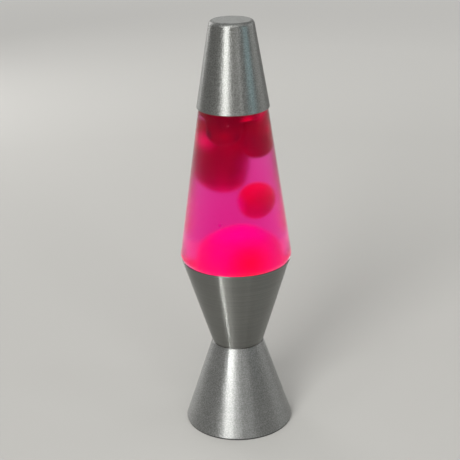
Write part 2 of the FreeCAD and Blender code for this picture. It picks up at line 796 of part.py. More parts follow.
# Bottom cover, snapped into the hem of the lower cone; its rim is what the lamp stands on
bottomCover = turnedBody("bottom_cover", [
    (0, "coverRecess"),
    ("coverRim - coverRimWidth", "coverRecess"),
    ("coverRim - coverRimWidth", 0),
    ("coverRim", 0),
    ("coverRim", "footStand"),
    ("coverEdge", "footStand"),
    ("coverEdge", "coverTop"),
    (0, "coverTop"),
])
hookSketch = newSketch(bottomCover, "hookSide")
drawOutline(hookSketch, [
    ("coverEdge - hookThick", "coverRecess"),
    ("coverEdge", "coverRecess"),
    ("coverEdge", "hookFoot"),
    ("coverEdge + hookReach", "hookFoot"),
    ("coverEdge", "coverTop + hookRise"),
    ("coverEdge - hookThick", "coverTop + hookRise"),
])
hookPad = extrude(bottomCover, hookSketch, "hookWidth", middle=True)
polar(bottomCover, hookPad, "hookCount")
cutFromBelow(bottomCover, "ventSlot",
             lambda sketch: drawBox(sketch, "slotRadius - slotLength / 2", "slotRadius + slotLength / 2",
                                    "-slotWidth / 2", "slotWidth / 2"),
             "coverRecess", "coverThick", "slotCount")

# Bushed hole for the cord, square to the rear wall of the lower cone
entryTilt = "atan(footRun) - 90 deg"
holeSketch = newSketch(lowerCone, "cordHole", "XY_Plane")
drawCircle(holeSketch, 0, 0, "entryBody + entryFit")
holeSketch.AttachmentOffset = Placement(Vector(0, 1, 1), Rotation(Vector(1, 0, 0), -70))
tie(holeSketch, "AttachmentOffset.Base.y", "entryPlace")
tie(holeSketch, "AttachmentOffset.Base.z", "entryHeight")
tie(holeSketch, "AttachmentOffset.Rotation.Angle", entryTilt)
wholeCone = lowerCone.Shape.Volume
extrude(lowerCone, holeSketch, "entryDepth", "PartDesign::Pocket", middle=True)
if lowerCone.Shape.Volume > wholeCone - 1:
    raise RuntimeError("the cord hole cuts nothing")

cordBushing = turnedBody("cord_bushing", [
    ("entryBore", "-entryDepth"),
    ("entryBody - entryBarb", "-entryDepth"),
    ("entryBody + entryBarb", "-entryBarbDrop"),
    ("entryBody", "-entryBarbDrop"),
    ("entryBody", 0),
    ("entryFlange", 0),
    ("entryFlange", "entryFlangeThick", "entryRound"),
    ("entryBore", "entryFlangeThick", "entryRound"),
])
cordBushing.Placement = Placement(Vector(0, 1, 1), Rotation(Vector(1, 0, 0), -70))
tie(cordBushing, "Placement.Base.y", "entryPlace")
tie(cordBushing, "Placement.Base.z", "footStand + entryHeight")
tie(cordBushing, "Placement.Rotation.Angle", entryTilt)


# Liquid and wax, with heights counted as on the globe
def insideAt(height):
    """The radius of the glass's inside at a height, as a formula."""
    return f"(shoulderRadius - glassWall + (innerTall - {height}) * innerRun)"


def dropPlace(high, radius, gap, angle):
    """Where a drop stands in plan, its upper ball a gap away from the glass."""
    reach = f"({insideAt(high)} - {radius} - {gap})"
    return f"{reach} * cos({angle} * 1 deg)", f"{reach} * sin({angle} * 1 deg)"


interior = turnedBody("globe_interior", [
    (0, "liquidLevel"),
    (insideAt("liquidLevel"), "liquidLevel"),
] + glassInside, "globeSeat")


def pearBody(label, low, lowRadius, high, highRadius, side, room=None):
    """A drop of wax: two balls, one above the other, the tangent cone between them, and room round it."""
    body = newBody(label)
    sketch = newSketch(body, label + "Outline")
    lowAt, highAt = size(low), size(high)
    lean = math.asin((size(lowRadius) - size(highRadius)) / (highAt - lowAt))
    axis = Vector(0, 0, 1)
    lowArc = sketch.addGeometry(Part.ArcOfCircle(
        Part.Circle(Vector(0, lowAt, 0), axis, size(lowRadius)), -math.pi / 2, lean))
    highArc = sketch.addGeometry(Part.ArcOfCircle(
        Part.Circle(Vector(0, highAt, 0), axis, size(highRadius)), lean, math.pi / 2))
    flank = sketch.addGeometry(Part.LineSegment(sketch.getPoint(lowArc, 2), sketch.getPoint(highArc, 1)))
    spine = sketch.addGeometry(Part.LineSegment(sketch.getPoint(highArc, 2), sketch.getPoint(lowArc, 1)))
    for arc, height, radius, pole in ((lowArc, low, lowRadius, 1), (highArc, high, highRadius, 2)):
        sketch.addConstraint(Sketcher.Constraint("PointOnObject", arc, 3, -2))
        sketch.addConstraint(Sketcher.Constraint("PointOnObject", arc, pole, -2))
        middle = sketch.getPoint(arc, 3)
        tieConstraint(sketch, Sketcher.Constraint("DistanceY", -1, 1, arc, 3, middle.y), height)
        tieConstraint(sketch, Sketcher.Constraint("Radius", arc, size(radius)),
                      f"{radius} + {room}" if room else radius)
    sketch.addConstraint(Sketcher.Constraint("Tangent", lowArc, 2, flank, 1))
    sketch.addConstraint(Sketcher.Constraint("Tangent", flank, 2, highArc, 1))
    sketch.addConstraint(Sketcher.Constraint("Coincident", highArc, 2, spine, 1))
    sketch.addConstraint(Sketcher.Constraint("Coincident", spine, 2, lowArc, 1))
    turn(body, sketch)
    placeAt(body, "globeSeat", side)
    return body


def combine(kind, label, base, tools):
    """Joins, cuts or intersects pieces under a name of its own."""
    first = base
    if kind == "Part::Cut":
        for number, tool in enumerate(tools):
            last = number == len(tools) - 1
            name = label if last else f"{label}_step{number}"
            result = doc.addObject("Part::Cut", name)
            result.Base, result.Tool = first, tool
            first = result
    else:
        result = doc.addObject(kind, label)
        result.Shapes = [base] + tools
    doc.recompute()
    return result


topMass = turnedBody("wax_top_mass", [
    (0, "topMassFoot"),
    (f"{insideAt('topMassFoot')} - topMassGap", "topMassFoot", "topMassRound"),
    (f"{insideAt('topMassHead')} - topMassGap", "topMassHead", "topMassRound"),
    (0, "topMassHead"),
], "globeSeat")
frontDrop = pearBody("wax_front_drop", "frontLow", "frontRadius", "frontHigh", "frontRadius",
                     dropPlace("frontHigh", "frontRadius", "frontGap", "frontAngle"))
rightDrop = pearBody("wax_right_drop", "rightLow", "rightRadius", "rightHigh", "rightRadius",
                     dropPlace("rightHigh", "rightRadius", "rightGap", "rightAngle"))
leftDrop = pearBody("wax_left_drop", "leftLow", "leftRadius", "leftHigh", "leftHighRadius",
                    dropPlace("leftHigh", "leftHighRadius", "leftGap", "leftAngle"))
ballPlace = dropPlace("ballHigh", "ballHighRadius", "ballAside", "ballAngle")
waxBall = pearBody("wax_ball", "ballLow", "ballRadius", "ballHigh", "ballHighRadius", ballPlace)
ballRoom = pearBody("wax_ball_room", "ballLow", "ballRadius", "ballHigh", "ballHighRadius", ballPlace,
                    "ballGap")
waxTop = combine("Part::MultiFuse", "wax_top", topMass, [frontDrop])
waxRight = combine("Part::Cut", "wax_right_lobe", rightDrop, [waxTop])
waxLeft = combine("Part::Cut", "wax_left_lobe", leftDrop, [waxTop, waxRight])

domeBody = pearBody("wax_dome", "domeBaseHeight", "domeBase", "domeHeight", "domeRadius", ("poolShift", "0"))
poolSlab = turnedBody("wax_pool_slab", [
    (0, "-globeInset"),
    ("globeRadius", "-globeInset"),
    ("globeRadius", "poolLevel"),
    (0, "poolLevel"),
], "globeSeat")
poolShape = combine("Part::MultiFuse", "wax_pool_shape", poolSlab, [domeBody])
poolWhole = combine("Part::MultiCommon", "wax_pool_whole", interior, [poolShape])
coilChannel = doc.addObject("Part::Torus", "coil_channel")
tie(coilChannel, "Radius1", "coilRing")
tie(coilChannel, "Radius2", "coilCurl + coilWire + coilRoom")
placeAt(coilChannel, "globeSeat + coilHeight")
waxPool = combine("Part::Cut", "wax_pool", poolWhole, [coilChannel])
globeLiquid = combine("Part::Cut", "globe_liquid", interior,
                      [poolShape, waxTop, waxRight, waxLeft, ballRoom])


# Coil of wire in the pool: a helix bent round a ring, one tube on pairs of arcs
def helixPoint(share):
    """The place and direction of the wire's middle at a share of its length round the ring."""
    span = math.radians(size("coilSpan"))
    around = share * span
    curl = share * size("coilCurls") * 2 * math.pi
    ring, reach = size("coilRing"), size("coilCurl")
    radius = ring + reach * math.cos(curl)
    place = Vector(radius * math.cos(around), radius * math.sin(around), reach * math.sin(curl))
    curlRate = size("coilCurls") * 2 * math.pi
    outward = -reach * math.sin(curl) * curlRate
    heading = Vector(outward * math.cos(around) - radius * span * math.sin(around),
                     outward * math.sin(around) + radius * span * math.cos(around),
                     reach * math.cos(curl) * curlRate)
    return place, heading.normalize()


def biarc(start, startHeading, end, endHeading):
    """Two arcs that leave one point and reach the next in the given directions."""
    gap = end - start
    both = startHeading + endHeading
    square = 2 * (1 - startHeading.dot(endHeading))
    middle = gap.dot(both)
    reach = (-middle + math.sqrt(middle * middle + square * gap.dot(gap))) / square
    joint = (start + startHeading * reach + end - endHeading * reach) / 2
    return arcFrom(start, startHeading, joint), arcFrom(end, -endHeading, joint, True)


def arcFrom(start, heading, end, backwards=False):
    chord = end - start
    across = chord - heading * chord.dot(heading)
    across.normalize()
    radius = chord.dot(chord) / (2 * chord.dot(across))
    centre = start + across * radius
    middle = centre + ((start + end) / 2 - centre).normalize() * radius
    ends = (end, start) if backwards else (start, end)
    return Part.Arc(ends[0], middle, ends[1]).toShape()


def coilTube():
    steps = int(size("coilCurls") * size("coilMarks"))
    marks = [helixPoint(number / steps) for number in range(steps + 1)]
    tail = 2 * size("coilWire")
    edges = [Part.LineSegment(marks[0][0] - marks[0][1] * tail, marks[0][0]).toShape()]
    for (start, startHeading), (end, endHeading) in zip(marks, marks[1:]):
        edges += biarc(start, startHeading, end, endHeading)
    edges.append(Part.LineSegment(marks[-1][0], marks[-1][0] + marks[-1][1] * tail).toShape())
    path = Part.Wire(edges)
    ring = Part.Wire([Part.makeCircle(size("coilWire"), edges[0].Vertexes[0].Point, marks[0][1])])
    tube = path.makePipeShell([ring], True, False)
    print("coil length", round(path.Length, 1), "volume over section times length",
          round(tube.Volume / (path.Length * math.pi * size("coilWire") ** 2), 4))
    print("coil least gap to itself", round(leastGap(), 2))
    return tube


def leastGap():
    """The least distance between turns of the wire, measured on points along its middle."""
    perCurl = int(4 * size("coilMarks"))
    total = perCurl * int(size("coilCurls"))
    places = [helixPoint(number / total)[0] for number in range(total + 1)]
    apart = [(first - second).Length for number, first in enumerate(places)
             for second in places[number + perCurl // 2:]]
    return min(apart) - 2 * size("coilWire")


wireCoil = doc.addObject("Part::Feature", "wire_coil")
wireCoil.Label = "wire_coil"
wireCoil.Shape = coilTube()
placeAt(wireCoil, "globeSeat + coilHeight")


nodes = [
    topCap, crownCap, crownLiner, glassGlobe, globeLiquid, waxTop, waxRight, waxLeft, waxPool, waxBall,
    wireCoil,
    upperCone, waistWasher, lowerCone, lampholder, ringNut, screwShell, centreContact, contactRivet,
    terminalPlates, terminalScrews, bottomCover, cordBushing,
] + bulbParts

doc.recompute()
for thing in doc.Objects:
    if "Invalid" in thing.State or "Error" in thing.State:
        raise RuntimeError(f"{thing.Name} failed: {thing.State}")
for node in nodes:
    shape = node.Shape
    if shape.isNull() or not shape.isValid() or not shape.Solids:
        raise RuntimeError(f"{node.Label} has no valid solid")
    print(node.Label, len(shape.Solids), "solids", round(shape.Volume, 1), "mm3")
for node in nodes:
    node.Shape.exportStep(f"parts/{node.Label}.step")
print(len(nodes), "nodes written")
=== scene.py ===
import json
import math

import bmesh
import bpy
from mathutils import Matrix, Vector


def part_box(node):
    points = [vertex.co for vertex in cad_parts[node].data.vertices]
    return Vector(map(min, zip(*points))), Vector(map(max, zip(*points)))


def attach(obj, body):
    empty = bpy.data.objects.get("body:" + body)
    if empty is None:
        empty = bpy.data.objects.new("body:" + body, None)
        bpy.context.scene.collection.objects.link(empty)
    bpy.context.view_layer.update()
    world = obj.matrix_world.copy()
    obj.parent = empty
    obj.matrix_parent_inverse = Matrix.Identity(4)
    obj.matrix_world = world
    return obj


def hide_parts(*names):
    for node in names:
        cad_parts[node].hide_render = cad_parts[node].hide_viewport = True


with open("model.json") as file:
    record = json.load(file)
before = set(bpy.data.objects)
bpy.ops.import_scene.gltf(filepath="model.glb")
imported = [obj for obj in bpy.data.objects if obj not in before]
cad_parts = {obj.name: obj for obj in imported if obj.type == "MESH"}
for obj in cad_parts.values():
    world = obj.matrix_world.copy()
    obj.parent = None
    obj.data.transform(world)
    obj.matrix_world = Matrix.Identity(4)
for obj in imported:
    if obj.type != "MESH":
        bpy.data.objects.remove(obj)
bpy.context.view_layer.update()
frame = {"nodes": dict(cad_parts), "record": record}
cadNodes = frame["nodes"]
print("frame loaded,", len(cadNodes), "nodes")


# Small helpers for node trees, meshes and finished pieces

seamReach = 2e-6    # corners nearer than this are one corner


def newMaterial(name):
    material = bpy.data.materials.new(name)
    material.use_nodes = True
    return material, material.node_tree, material.node_tree.nodes["Principled BSDF"]


def addNode(tree, kind, inputs=None, **settings):
    # inputs are values for its sockets, settings are its own properties
    node = tree.nodes.new(kind)
    for key, value in settings.items():
        setattr(node, key, value)
    for key, value in (inputs or {}).items():
        node.inputs[key].default_value = value
    return node


def setSockets(shader, values):
    for key, value in values.items():
        shader.inputs[key].default_value = value


def joinUp(tree, *pairs):
    for source, target in pairs:
        tree.links.new(source, target)


def objectPattern(tree, scale=(1, 1, 1)):
    # a pattern fixed to the piece, stretched by its scale along each axis
    place = addNode(tree, "ShaderNodeTexCoord")
    mapping = addNode(tree, "ShaderNodeMapping", {"Scale": scale})
    tree.links.new(place.outputs["Object"], mapping.inputs["Vector"])
    return mapping.outputs["Vector"]


def noise(tree, vector, scale=1.0, detail=3.0, roughness=0.55):
    texture = addNode(tree, "ShaderNodeTexNoise", {"Scale": scale, "Detail": detail, "Roughness": roughness})
    tree.links.new(vector, texture.inputs["Vector"])
    return texture.outputs["Fac"]


def spread(tree, value, fromLow, fromHigh, toLow, toHigh):
    # the value moved from one range to another, and held at its ends
    node = addNode(tree, "ShaderNodeMapRange", {
        "From Min": fromLow, "From Max": fromHigh, "To Min": toLow, "To Max": toHigh})
    tree.links.new(value, node.inputs["Value"])
    return node.outputs["Result"]


def mixColour(tree, factor, first, second, blend="MIX"):
    # sockets 0, 6 and 7 are the colour mix's factor, first and second, and output 2 is its result
    node = addNode(tree, "ShaderNodeMix", data_type="RGBA", blend_type=blend)
    for socket, value in ((node.inputs[0], factor), (node.inputs[6], first), (node.inputs[7], second)):
        if isinstance(value, bpy.types.NodeSocket):
            tree.links.new(value, socket)
        elif isinstance(value, (tuple, list)):
            socket.default_value = tuple(value)[:3] + (1.0,)
        else:
            socket.default_value = value
    return node.outputs[2]


def bandedColour(tree, place, bands):
    # colours at heights, with even changes between them
    split = addNode(tree, "ShaderNodeSeparateXYZ")
    tree.links.new(place, split.inputs["Vector"])
    low, high = bands[0][0], bands[-1][0]
    ramp = addNode(tree, "ShaderNodeValToRGB")
    tree.links.new(spread(tree, split.outputs["Z"], low, high, 0.0, 1.0), ramp.inputs["Fac"])
    marks = ramp.color_ramp.elements
    for number, (height, colour) in enumerate(bands):
        share = (height - low) / (high - low)
        mark = marks[number] if number < 2 else marks.new(share)
        mark.position = share
        mark.color = colour + (1.0,)
    return ramp.outputs["Color"]


def addBump(tree, shader, heights):
    # heights are (value, depth in metres, strength), laid one over another
    normal = None
    for value, depth, strength in heights:
        bump = addNode(tree, "ShaderNodeBump", {"Distance": depth, "Strength": strength})
        tree.links.new(value, bump.inputs["Height"])
        if normal:
            tree.links.new(normal, bump.inputs["Normal"])
        normal = bump.outputs["Normal"]
    tree.links.new(normal, shader.inputs["Normal"])


def dress(node, material):
    for materialSlot in cadNodes[node].material_slots:
        materialSlot.material = material


def mergedCopy(node):
    shape = bmesh.new()
    shape.from_mesh(cadNodes[node].data)
    bmesh.ops.remove_doubles(shape, verts=shape.verts, dist=seamReach)
    return shape


def meshFrom(shape, name):
    mesh = bpy.data.meshes.new(name)
    shape.to_mesh(mesh)
    shape.free()
    return mesh


def bakedMesh(source):
    # the plain mesh that an object's modifiers give, with the object taken away
    bpy.context.view_layer.update()
    depsgraph = bpy.context.evaluated_depsgraph_get()
    mesh = bpy.data.meshes.new_from_object(source.evaluated_get(depsgraph), depsgraph=depsgraph)
    source.modifiers.clear()
    bpy.data.objects.remove(source)
    return mesh


def newTree(name, inputs):
    # a geometry tree with a socket for each named size; the value's own type picks the kind of socket
    tree = bpy.data.node_groups.new(name, "GeometryNodeTree")
    kinds = {float: "NodeSocketFloat", int: "NodeSocketInt", tuple: "NodeSocketVector",
             bpy.types.Material: "NodeSocketMaterial"}
    for label, value in inputs.items():
        tree.interface.new_socket(label, in_out="INPUT", socket_type=kinds[type(value)])
    tree.interface.new_socket("Geometry", in_out="OUTPUT", socket_type="NodeSocketGeometry")
    return tree, tree.nodes.new("NodeGroupInput"), tree.nodes.new("NodeGroupOutput")


def closeTree(tree, entry, leave, geometry):
    # every grown piece ends as real faces with its material
    real = addNode(tree, "GeometryNodeRealizeInstances")
    coat = addNode(tree, "GeometryNodeSetMaterial")
    joinUp(tree, (geometry, real.inputs["Geometry"]), (real.outputs["Geometry"], coat.inputs["Geometry"]),
           (entry.outputs["Material"], coat.inputs["Material"]),
           (coat.outputs["Geometry"], leave.inputs["Geometry"]))


def grownMesh(tree, values):
    source = bpy.data.objects.new(tree.name, bpy.data.meshes.new(tree.name))
    bpy.context.scene.collection.objects.link(source)
    modifier = source.modifiers.new(tree.name, "NODES")
    modifier.node_group = tree
    for item in tree.interface.items_tree:
        if item.in_out == "INPUT":
            modifier[item.identifier] = values[item.name]
    return bakedMesh(source)


def finishPiece(name, mesh, material, body, replaced=()):
    mesh.name = name
    mesh.materials.clear()
    mesh.materials.append(material)
    for face in mesh.polygons:
        face.use_smooth = True
    piece = bpy.data.objects.new(name, mesh)
    bpy.context.scene.collection.objects.link(piece)
    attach(piece, body)
    if replaced:
        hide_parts(*replaced)
    return piece


# Spun aluminium: circles of fine grain left by the brush, with short flecks that catch the light

spunAluminium = {
    "colour": (0.235, 0.24, 0.233), "darker": (0.2, 0.204, 0.198), "cloudScale": (30, 30, 12),
    "cloudShare": 0.6, "roughness": (0.37, 0.46), "brushPull": 0.9, "brushTurn": 0.25,
    "grainScale": (900, 900, 1000), "grainCut": (0.45, 0.8), "grainDepth": 0.00007,
    "flecks": (0.72, 1.24), "fleckSpan": (0.35, 0.68),
    "lineScale": (14, 14, 1100), "lineDepth": 0.00003, "lines": (0.97, 1.03), "lineSpan": (0.35, 0.65),
    "noiseSpan": (0.3, 0.7), "flatRim": 0.0029, "flatBand": 0.001, "innerGlow": None,
}
# lit and shaded copies of one aluminium: the foot's colour is painted lighter and the upper cone's painted
# darker, standing in for the light and shade that fall on them; the upper cone's smoother brushing is only
# roughness and bump, and its inner wall glows with painted bulb light
litFootAluminium = dict(spunAluminium, colour=(0.268, 0.273, 0.27), darker=(0.228, 0.233, 0.23))
shadedSmoothAluminium = dict(
    spunAluminium, colour=(0.155, 0.157, 0.149), darker=(0.137, 0.139, 0.131), roughness=(0.3, 0.34),
    brushPull=1.0, grainDepth=0.00002, flecks=(0.97, 1.03), lineDepth=0.00005, lines=(0.94, 1.06),
    innerGlow={"colour": (1.0, 0.86, 0.72), "strength": 0.8, "full": 0.126, "fade": 0.03, "dim": 0.3,
               "wall": 0.0006, "wallEdge": 0.0001, "footReach": 0.0229})


def makeSpunMetal(name, values):
    material, tree, shader = newMaterial(name)
    place = objectPattern(tree)
    grain = noise(tree, objectPattern(tree, values["grainScale"]), detail=1.5, roughness=0.5)
    raised = spread(tree, grain, *values["grainCut"], 0.0, 1.0)
    lines = noise(tree, objectPattern(tree, values["lineScale"]), detail=2.0)
    clouds = noise(tree, objectPattern(tree, values["cloudScale"]), detail=2.0)
    tone = spread(tree, clouds, *values["noiseSpan"], 0.0, values["cloudShare"])
    flecks = spread(tree, grain, *values["fleckSpan"], *values["flecks"])
    rings = spread(tree, lines, *values["lineSpan"], *values["lines"])
    colour = mixColour(tree, tone, values["colour"], values["darker"])
    colour = mixColour(tree, 1.0, colour, flecks, "MULTIPLY")
    colour = mixColour(tree, 1.0, colour, rings, "MULTIPLY")
    # the cap's flat top keeps no pull, since the brush went round it and not along it
    split = addNode(tree, "ShaderNodeSeparateXYZ")
    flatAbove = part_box("top_cap")[1].z - values["flatRim"]
    pull = spread(tree, split.outputs["Z"], flatAbove, flatAbove + values["flatBand"],
                  values["brushPull"], 0.0)
    tangent = addNode(tree, "ShaderNodeTangent", direction_type="RADIAL", axis="Z")
    joinUp(tree, (colour, shader.inputs["Base Color"]), (place, split.inputs["Vector"]),
           (spread(tree, grain, *values["noiseSpan"], *values["roughness"]), shader.inputs["Roughness"]),
           (pull, shader.inputs["Anisotropic"]), (tangent.outputs["Tangent"], shader.inputs["Tangent"]))
    setSockets(shader, {"Metallic": 1.0, "Anisotropic Rotation": values["brushTurn"]})
    addBump(tree, shader, [(raised, values["grainDepth"], 1.0), (lines, values["lineDepth"], 1.0)])
    if values["innerGlow"]:
        lightInside(tree, shader, place, split.outputs["Z"], values["innerGlow"])
    return material


def lightInside(tree, shader, place, height, glow):
    # the bulb's light on the inside of the wall, found by its depth below the outside at each height
    low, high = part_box("upper_cone")
    outside = spread(tree, height, low.z, high.z, glow["footReach"], high.x)
    level = addNode(tree, "ShaderNodeVectorMath", {1: (1, 1, 0)}, operation="MULTIPLY")
    reach = addNode(tree, "ShaderNodeVectorMath", operation="LENGTH")
    depth = addNode(tree, "ShaderNodeMath", operation="SUBTRACT")
    joinUp(tree, (place, level.inputs[0]), (level.outputs["Vector"], reach.inputs[0]),
           (outside, depth.inputs[0]), (reach.outputs["Value"], depth.inputs[1]))
    inside = spread(tree, depth.outputs["Value"], glow["wall"], glow["wall"] + glow["wallEdge"], 0.0, 1.0)
    upper = spread(tree, height, glow["full"] - glow["fade"], glow["full"], glow["dim"], 1.0)
    both = mixColour(tree, 1.0, inside, upper, "MULTIPLY")
    tree.links.new(mixColour(tree, both, (0, 0, 0), glow["colour"]), shader.inputs["Emission Color"])
    setSockets(shader, {"Emission Strength": glow["strength"]})


dress("top_cap", makeSpunMetal("brushed_spun_aluminium", spunAluminium))
dress("lower_cone", makeSpunMetal("foot_aluminium_painted_lighter", litFootAluminium))
dress("upper_cone", makeSpunMetal("smooth_aluminium_painted_darker", shadedSmoothAluminium))
print("aluminium dressed")


# Clear glass, with the slow waves of a blown wall

globeGlass = {"colour": (0.99, 0.98, 0.985, 1.0), "ior": 1.5, "roughness": 0.01,
              "tint": (0.05, 0.05, 0.05, 1.0), "waves": (9, 9, 14), "rise": 0.0004, "waveShare": 0.2}
bulbGlass = dict(globeGlass, colour=(0.97, 0.975, 0.98, 1.0), tint=(1.0, 1.0, 1.0, 1.0),
                 waves=(40, 40, 30), rise=0.0001)


def makeClearGlass(name, values):
    material, tree, shader = newMaterial(name)
    setSockets(shader, {"Base Color": values["colour"], "Transmission Weight": 1.0, "IOR": values["ior"],
                        "Roughness": values["roughness"], "Specular Tint": values["tint"]})
    waves = noise(tree, objectPattern(tree, values["waves"]), detail=1.0)
    addBump(tree, shader, [(waves, values["rise"], values["waveShare"])])
    return material


dress("glass_globe", makeClearGlass("globe_clear_glass", globeGlass))
clearBulb = makeClearGlass("bulb_clear_glass", bulbGlass)
dress("bulb_envelope", clearBulb)
dress("bulb_stem", clearBulb)
print("glass dressed")


# Liquid: one body of pink dye from the globe's floor up to its level, with the wax hanging inside it

liquid = {
    "lap": 0.00005, "cutReach": 1e-6, "rimGap": 0.001, "levelGap": 1e-5,
    "ior": 1.36, "roughness": 0.27, "tint": (0.03, 0.03, 0.03, 1.0),
    "dye": (0.985, 0.004, 0.669, 1.0), "density": 42.0,
    # the glow is painted bulb light, strongest at the globe's floor and fading upwards
    "glow": [(0.160, (0.06, 0.0, 0.048)), (0.200, (0.05, 0.0, 0.035)), (0.235, (0.03, 0.0, 0.012)),
             (0.300, (0.012, 0.0, 0.003))],
}


def liquidMesh(values):
    # the globe's inner wall up to the liquid's level, closed there and lapped into the glass
    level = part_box("globe_liquid")[1].z
    shape = mergedCopy("glass_globe")
    bmesh.ops.bisect_plane(shape, geom=shape.verts[:] + shape.edges[:] + shape.faces[:],
                           dist=values["cutReach"], plane_co=(0, 0, level), plane_no=(0, 0, 1),
                           clear_outer=True)
    rims = [edge for edge in shape.edges if edge.is_boundary]
    innerReach = min(edge.verts[0].co.xy.length for edge in rims)
    innerRim = [edge for edge in rims if edge.verts[0].co.xy.length < innerReach + values["rimGap"]]
    wall, waiting = set(), [edge.verts[0] for edge in innerRim]
    while waiting:
        vertex = waiting.pop()
        if vertex not in wall:
            wall.add(vertex)
            waiting += [edge.other_vert(vertex) for edge in vertex.link_edges]
    bmesh.ops.delete(shape, geom=[vertex for vertex in shape.verts if vertex not in wall], context="VERTS")
    bmesh.ops.triangle_fill(shape, edges=[edge for edge in shape.edges if edge.is_boundary], use_beauty=True)
    bmesh.ops.recalc_face_normals(shape, faces=shape.faces)
    if shape.calc_volume(signed=True) < 0:
        bmesh.ops.reverse_faces(shape, faces=shape.faces)
    shape.normal_update()
    for vertex in shape.verts:
        if vertex.co.z < level - values["levelGap"]:
            vertex.co += vertex.normal * values["lap"]
    return meshFrom(shape, "liquid_fill")


def makeLiquidMaterial(values):
    material, tree, shader = newMaterial("pink_liquid")
    setSockets(shader, {"Base Color": (1, 1, 1, 1), "Transmission Weight": 1.0, "IOR": values["ior"],
                        "Roughness": values["roughness"], "Specular Tint": values["tint"],
                        "Emission Strength": 1.0})
    tree.links.new(bandedColour(tree, objectPattern(tree), values["glow"]), shader.inputs["Emission Color"])
    dye = addNode(tree, "ShaderNodeVolumeAbsorption", {"Color": values["dye"], "Density": values["density"]})
    tree.links.new(dye.outputs["Volume"], tree.nodes["Material Output"].inputs["Volume"])
    return material


finishPiece("liquid_fill", liquidMesh(liquid), makeLiquidMaterial(liquid), "globe",
            ["globe_liquid"])
print("liquid filled")


# Wax: soft red drops with painted light and shade in their colour, hot pink near the bulb below and deep red
# in shade at the top, and a painted glow

# bands are heights with their colours, the wax's red with painted light from below and painted shade higher
# up; spots are painted highlights and painted shade, each with a place, a reach and a colour; and swells have
# a place, a reach and a push along the normal
upperWax = {
    "name": "upper_wax_painted_light_and_shade",
    "bands": [(0.216, (0.70, 0.02, 0.25)), (0.222, (0.50, 0.0, 0.12)), (0.227, (0.36, 0.0, 0.05)),
              (0.236, (0.29, 0.0, 0.028)), (0.248, (0.27, 0.0, 0.022)), (0.258, (0.32, 0.0, 0.024)),
              (0.266, (0.31, 0.0, 0.018)), (0.275, (0.31, 0.0, 0.012)), (0.285, (0.20, 0.0, 0.008)),
              (0.310, (0.15, 0.0, 0.006))],
    "paintedLightAndShade": [((0.014, -0.010, 0.267), 0.018, (0.23, 0.0, 0.015)),
              ((0.023, -0.012, 0.291), 0.014, (0.60, 0.0, 0.05)),
              ((0.027, -0.006, 0.277), 0.010, (0.45, 0.0, 0.035)),
              ((0.0122, -0.0240, 0.2868), 0.0095, (1.0, 0.0, 0.05)),
              ((-0.0185, 0.009, 0.263), 0.012, (0.72, 0.0, 0.14)),
              ((0.0075, 0.005, 0.232), 0.011, (0.42, 0.0, 0.12)),
              ((0.0075, 0.005, 0.244), 0.011, (0.36, 0.0, 0.08)),
              ((0.0135, 0.008, 0.229), 0.011, (0.64, 0.1, 0.42)),
              ((0.0135, 0.008, 0.240), 0.011, (0.62, 0.1, 0.40)),
              ((0.0135, 0.008, 0.251), 0.010, (0.56, 0.08, 0.32)),
              ((-0.0075, -0.022, 0.276), 0.006, (0.38, 0.0, 0.013)),
              ((0.001, -0.018, 0.275), 0.007, (0.22, 0.0, 0.012)),
              ((-0.020, -0.016, 0.276), 0.008, (0.12, 0.0, 0.008))],
    "glow": 0.5, "roughness": (0.36, 0.48), "ior": 1.06,
    "cloudStretch": (1, 1, 0.2), "cloudScale": 110, "clouds": (0.88, 1.12), "cloudSpan": (0.3, 0.7),
    "voxel": 0.0011, "passes": 14, "passShare": 0.5, "shrink": 0.00025,
    "swells": [((-0.016, 0.014, 0.238), 0.022, 0.0009), ((0.009, 0.010, 0.243), 0.018, 0.0022),
               ((0.0045, 0.0075, 0.2292), 0.014, -0.0008)],
}
ballWax = dict(
    upperWax, name="red_wax", cloudStretch=(1, 1, 1), cloudScale=55, clouds=(0.92, 1.08),
    bands=[(0.196, (0.60, 0.0, 0.09)), (0.204, (0.53, 0.0, 0.05)), (0.216, (0.58, 0.0, 0.024)),
           (0.229, (0.94, 0.0, 0.08))],
    paintedLightAndShade=[((-0.0015, -0.004, 0.211), 0.0135, (0.76, 0.0, 0.30))])
poolWax = dict(
    ballWax, name="pool_wax_painted_glow", paintedLightAndShade=[((0.011, -0.028, 0.163), 0.028, (1.0, 0.0, 0.005))],
    bands=[(0.150, (0.98, 0.01, 0.18)), (0.158, (0.98, 0.0, 0.17)), (0.1755, (1.0, 0.0, 0.23)),
           (0.184, (1.0, 0.0, 0.40)), (0.192, (1.0, 0.0, 0.48))],
    swells=[((0.004, 0.0, 0.189), 0.022, 0.003)])


def makeWaxMaterial(values):
    material, tree, shader = newMaterial(values["name"])
    place = objectPattern(tree)
    colour = bandedColour(tree, place, values["bands"])
    for centre, reach, glow in values["paintedLightAndShade"]:
        gap = addNode(tree, "ShaderNodeVectorMath", {1: centre}, operation="DISTANCE")
        tree.links.new(place, gap.inputs[0])
        fade = {"From Min": 0.0, "From Max": reach, "To Min": 1.0, "To Max": 0.0}
        near = addNode(tree, "ShaderNodeMapRange", fade, interpolation_type="SMOOTHSTEP")
        tree.links.new(gap.outputs["Value"], near.inputs["Value"])
        colour = mixColour(tree, near.outputs["Result"], colour, glow)
    clouds = noise(tree, objectPattern(tree, values["cloudStretch"]), scale=values["cloudScale"], detail=2.0)
    shades = spread(tree, clouds, *values["cloudSpan"], *values["clouds"])
    colour = mixColour(tree, 1.0, colour, shades, "MULTIPLY")
    rough = spread(tree, clouds, *values["cloudSpan"], *values["roughness"])
    # the colour, with its painted light and shade, also glows as painted bulb light
    joinUp(tree, (colour, shader.inputs["Base Color"]), (colour, shader.inputs["Emission Color"]),
           (rough, shader.inputs["Roughness"]))
    setSockets(shader, {"Emission Strength": values["glow"], "IOR": values["ior"]})
    return material


